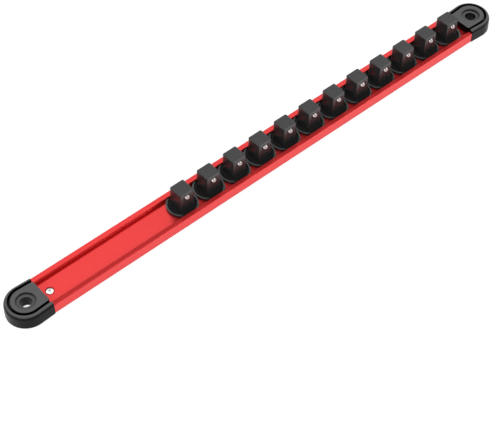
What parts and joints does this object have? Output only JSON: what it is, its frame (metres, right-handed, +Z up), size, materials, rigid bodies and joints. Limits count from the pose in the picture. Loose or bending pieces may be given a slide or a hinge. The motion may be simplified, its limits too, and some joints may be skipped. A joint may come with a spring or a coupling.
{
  "type": "socket rail",
  "caption": "Long flat channel rail with rounded end caps, each with a mounting hole, and a row of sliding square-post clips that hold sockets by sprung balls.",
  "frame": {"origin": "middle of the footprint, on the surface that the rail lies on, midway between the two mounting holes", "axes": "+X along the rail towards the end that the clips are packed against, -Y towards the side that the balls face, +Z up out of the channel"},
  "size_m": [0.4638, 0.031, 0.0239],
  "materials": {
    "red_anodised_aluminium": "satin red anodising",
    "cap_plastic": "fine satin moulding",
    "clip_plastic": "semi-gloss moulding",
    "plated_steel": "bright plating",
    "ball_steel": "polished",
    "spring_steel": "drawn wire"
  },
  "bodies": {
    "rail_body": {"rail": "red_anodised_aluminium", "end_cap_left": "cap_plastic", "end_cap_right": "cap_plastic", "cap_screw_left": "plated_steel", "cap_screw_right": "plated_steel"},
    "clip_body_12": {"clip_12": "clip_plastic", "clip_spring_12": "spring_steel"},
    "ball_body_12": {"clip_ball_12": "ball_steel"},
    "clip_body_11": {"clip_11": "clip_plastic", "clip_spring_11": "spring_steel"},
    "ball_body_11": {"clip_ball_11": "ball_steel"},
    "clip_body_10": {"clip_10": "clip_plastic", "clip_spring_10": "spring_steel"},
    "ball_body_10": {"clip_ball_10": "ball_steel"},
    "clip_body_09": {"clip_09": "clip_plastic", "clip_spring_09": "spring_steel"},
    "ball_body_09": {"clip_ball_09": "ball_steel"},
    "clip_body_08": {"clip_08": "clip_plastic", "clip_spring_08": "spring_steel"},
    "ball_body_08": {"clip_ball_08": "ball_steel"},
    "clip_body_07": {"clip_07": "clip_plastic", "clip_spring_07": "spring_steel"},
    "ball_body_07": {"clip_ball_07": "ball_steel"},
    "clip_body_06": {"clip_06": "clip_plastic", "clip_spring_06": "spring_steel"},
    "ball_body_06": {"clip_ball_06": "ball_steel"},
    "clip_body_05": {"clip_05": "clip_plastic", "clip_spring_05": "spring_steel"},
    "ball_body_05": {"clip_ball_05": "ball_steel"},
    "clip_body_04": {"clip_04": "clip_plastic", "clip_spring_04": "spring_steel"},
    "ball_body_04": {"clip_ball_04": "ball_steel"},
    "clip_body_03": {"clip_03": "clip_plastic", "clip_spring_03": "spring_steel"},
    "ball_body_03": {"clip_ball_03": "ball_steel"},
    "clip_body_02": {"clip_02": "clip_plastic", "clip_spring_02": "spring_steel"},
    "ball_body_02": {"clip_ball_02": "ball_steel"},
    "clip_body_01": {"clip_01": "clip_plastic", "clip_spring_01": "spring_steel"},
    "ball_body_01": {"clip_ball_01": "ball_steel"}
  },
  "joints": [
    {"name": "clip_slide_12", "type": "slide", "parent": "rail_body", "child": "clip_body_12", "axis": [1, 0, 0], "range_m": [-0.0092, 0.0025]},
    {"name": "ball_press_12", "type": "slide", "parent": "clip_body_12", "child": "ball_body_12", "axis": [0, 1, 0], "range_m": [0, 0.0012], "stiffness_N_per_m": 800, "springref_m": -0.002, "deforming": ["clip_spring_12"]},
    {"name": "clip_slide_11", "type": "slide", "parent": "clip_body_12", "child": "clip_body_11", "axis": [1, 0, 0], "range_m": [-0.0092, 0]},
    {"name": "ball_press_11", "type": "slide", "parent": "clip_body_11", "child": "ball_body_11", "axis": [0, 1, 0], "range_m": [0, 0.0012], "stiffness_N_per_m": 800, "springref_m": -0.002, "deforming": ["clip_spring_11"]},
    {"name": "clip_slide_10", "type": "slide", "parent": "clip_body_11", "child": "clip_body_10", "axis": [1, 0, 0], "range_m": [-0.0092, 0]},
    {"name": "ball_press_10", "type": "slide", "parent": "clip_body_10", "child": "ball_body_10", "axis": [0, 1, 0], "range_m": [0, 0.0012], "stiffness_N_per_m": 800, "springref_m": -0.002, "deforming": ["clip_spring_10"]},
    {"name": "clip_slide_09", "type": "slide", "parent": "clip_body_10", "child": "clip_body_09", "axis": [1, 0, 0], "range_m": [-0.0092, 0]},
    {"name": "ball_press_09", "type": "slide", "parent": "clip_body_09", "child": "ball_body_09", "axis": [0, 1, 0], "range_m": [0, 0.0012], "stiffness_N_per_m": 800, "springref_m": -0.002, "deforming": ["clip_spring_09"]},
    {"name": "clip_slide_08", "type": "slide", "parent": "clip_body_09", "child": "clip_body_08", "axis": [1, 0, 0], "range_m": [-0.0092, 0]},
    {"name": "ball_press_08", "type": "slide", "parent": "clip_body_08", "child": "ball_body_08", "axis": [0, 1, 0], "range_m": [0, 0.0012], "stiffness_N_per_m": 800, "springref_m": -0.002, "deforming": ["clip_spring_08"]},
    {"name": "clip_slide_07", "type": "slide", "parent": "clip_body_08", "child": "clip_body_07", "axis": [1, 0, 0], "range_m": [-0.0092, 0]},
    {"name": "ball_press_07", "type": "slide", "parent": "clip_body_07", "child": "ball_body_07", "axis": [0, 1, 0], "range_m": [0, 0.0012], "stiffness_N_per_m": 800, "springref_m": -0.002, "deforming": ["clip_spring_07"]},
    {"name": "clip_slide_06", "type": "slide", "parent": "clip_body_07", "child": "clip_body_06", "axis": [1, 0, 0], "range_m": [-0.0092, 0]},
    {"name": "ball_press_06", "type": "slide", "parent": "clip_body_06", "child": "ball_body_06", "axis": [0, 1, 0], "range_m": [0, 0.0012], "stiffness_N_per_m": 800, "springref_m": -0.002, "deforming": ["clip_spring_06"]},
    {"name": "clip_slide_05", "type": "slide", "parent": "clip_body_06", "child": "clip_body_05", "axis": [1, 0, 0], "range_m": [-0.0092, 0]},
    {"name": "ball_press_05", "type": "slide", "parent": "clip_body_05", "child": "ball_body_05", "axis": [0, 1, 0], "range_m": [0, 0.0012], "stiffness_N_per_m": 800, "springref_m": -0.002, "deforming": ["clip_spring_05"]},
    {"name": "clip_slide_04", "type": "slide", "parent": "clip_body_05", "child": "clip_body_04", "axis": [1, 0, 0], "range_m": [-0.0092, 0]},
    {"name": "ball_press_04", "type": "slide", "parent": "clip_body_04", "child": "ball_body_04", "axis": [0, 1, 0], "range_m": [0, 0.0012], "stiffness_N_per_m": 800, "springref_m": -0.002, "deforming": ["clip_spring_04"]},
    {"name": "clip_slide_03", "type": "slide", "parent": "clip_body_04", "child": "clip_body_03", "axis": [1, 0, 0], "range_m": [-0.0092, 0]},
    {"name": "ball_press_03", "type": "slide", "parent": "clip_body_03", "child": "ball_body_03", "axis": [0, 1, 0], "range_m": [0, 0.0012], "stiffness_N_per_m": 800, "springref_m": -0.002, "deforming": ["clip_spring_03"]},
    {"name": "clip_slide_02", "type": "slide", "parent": "clip_body_03", "child": "clip_body_02", "axis": [1, 0, 0], "range_m": [-0.0092, 0]},
    {"name": "ball_press_02", "type": "slide", "parent": "clip_body_02", "child": "ball_body_02", "axis": [0, 1, 0], "range_m": [0, 0.0012], "stiffness_N_per_m": 800, "springref_m": -0.002, "deforming": ["clip_spring_02"]},
    {"name": "clip_slide_01", "type": "slide", "parent": "clip_body_02", "child": "clip_body_01", "axis": [1, 0, 0], "range_m": [-0.0092, 0]},
    {"name": "ball_press_01", "type": "slide", "parent": "clip_body_01", "child": "ball_body_01", "axis": [0, 1, 0], "range_m": [0, 0.0012], "stiffness_N_per_m": 800, "springref_m": -0.002, "deforming": ["clip_spring_01"]}
  ]
}
